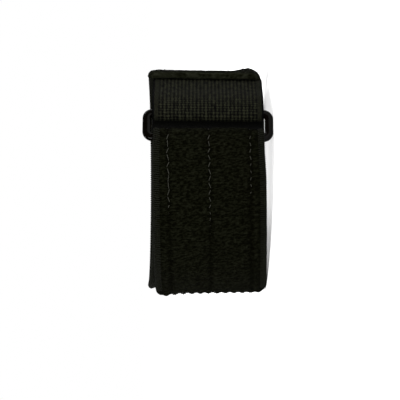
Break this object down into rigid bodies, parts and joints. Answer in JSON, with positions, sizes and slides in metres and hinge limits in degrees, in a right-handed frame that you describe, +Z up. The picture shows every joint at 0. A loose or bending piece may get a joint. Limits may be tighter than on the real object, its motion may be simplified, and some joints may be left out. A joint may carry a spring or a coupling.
{
  "type": "tennis elbow support",
  "caption": "Padded black forearm strap with sewn rows, closed round a forearm through a moulded ring on a webbing link and folded back on itself.",
  "frame": {"origin": "on the table, under the middle of the whole closed strap", "axes": "+Z up and close to the forearm's axis, towards the elbow; -Y towards the picture's camera; +X towards the crest of the arm, which is the picture's upward direction"},
  "size_m": [0.1074, 0.0928, 0.059],
  "materials": {
    "strap_pile": "brushed loop pile on foam",
    "webbing": "woven nylon",
    "ring_plastic": "gloss",
    "label_satin": "satin weave",
    "hook_plastic": "moulded hooks"
  },
  "bodies": {
    "root": {"strap": "strap_pile", "webbing_link": "webbing", "ring": "ring_plastic", "label": "label_satin", "hook_patch": "hook_plastic"}
  },
  "joints": []
}
